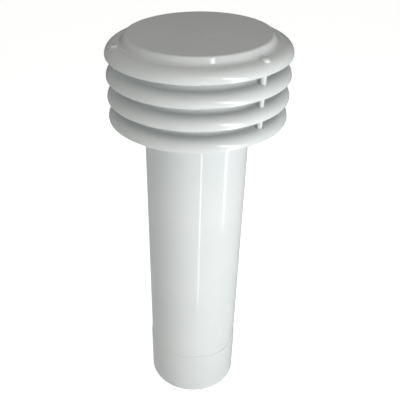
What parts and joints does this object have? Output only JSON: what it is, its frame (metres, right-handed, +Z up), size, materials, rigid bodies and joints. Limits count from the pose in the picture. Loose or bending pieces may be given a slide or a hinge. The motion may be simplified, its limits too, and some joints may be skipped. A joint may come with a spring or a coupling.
{
  "type": "louvred cowl vent",
  "caption": "Upright duct pipe topped by a closed crowned cap over stacked open rings held apart by long screws and tube spacers, with a socket sleeve at the foot.",
  "frame": {"origin": "centre of the open lower end of the pipe's sleeve, on the surface it stands on", "axes": "+Z up along the pipe to the cap; -Y is the front, seen between two of the three screws"},
  "size_m": [0.169, 0.169, 0.4247],
  "materials": {
    "painted_shell": "gloss white paint",
    "painted_fixings": "gloss white paint, thick in the corners",
    "plain_steel": "plain stainless steel",
    "rivet_metal": "dull aluminium"
  },
  "bodies": {
    "root": {"cap": "painted_shell", "louvre_ring_upper": "painted_shell", "louvre_ring_middle": "painted_shell", "base_ring": "painted_shell", "vent_pipe": "painted_shell", "connection_sleeve": "painted_shell", "neck_flange": "plain_steel", "tie_bolt_1": "painted_fixings", "spacer_upper_1": "painted_fixings", "spacer_middle_1": "painted_fixings", "spacer_lower_1": "painted_fixings", "washer_1": "plain_steel", "lock_nut_1": "plain_steel", "tie_bolt_2": "painted_fixings", "spacer_upper_2": "painted_fixings", "spacer_middle_2": "painted_fixings", "spacer_lower_2": "painted_fixings", "washer_2": "plain_steel", "lock_nut_2": "plain_steel", "tie_bolt_3": "painted_fixings", "spacer_upper_3": "painted_fixings", "spacer_middle_3": "painted_fixings", "spacer_lower_3": "painted_fixings", "washer_3": "plain_steel", "lock_nut_3": "plain_steel", "flange_rivet_1": "rivet_metal", "flange_rivet_2": "rivet_metal", "flange_rivet_3": "rivet_metal", "flange_rivet_4": "rivet_metal", "flange_rivet_5": "rivet_metal", "flange_rivet_6": "rivet_metal", "neck_rivet_1": "rivet_metal", "neck_rivet_2": "rivet_metal", "neck_rivet_3": "rivet_metal"}
  },
  "joints": []
}
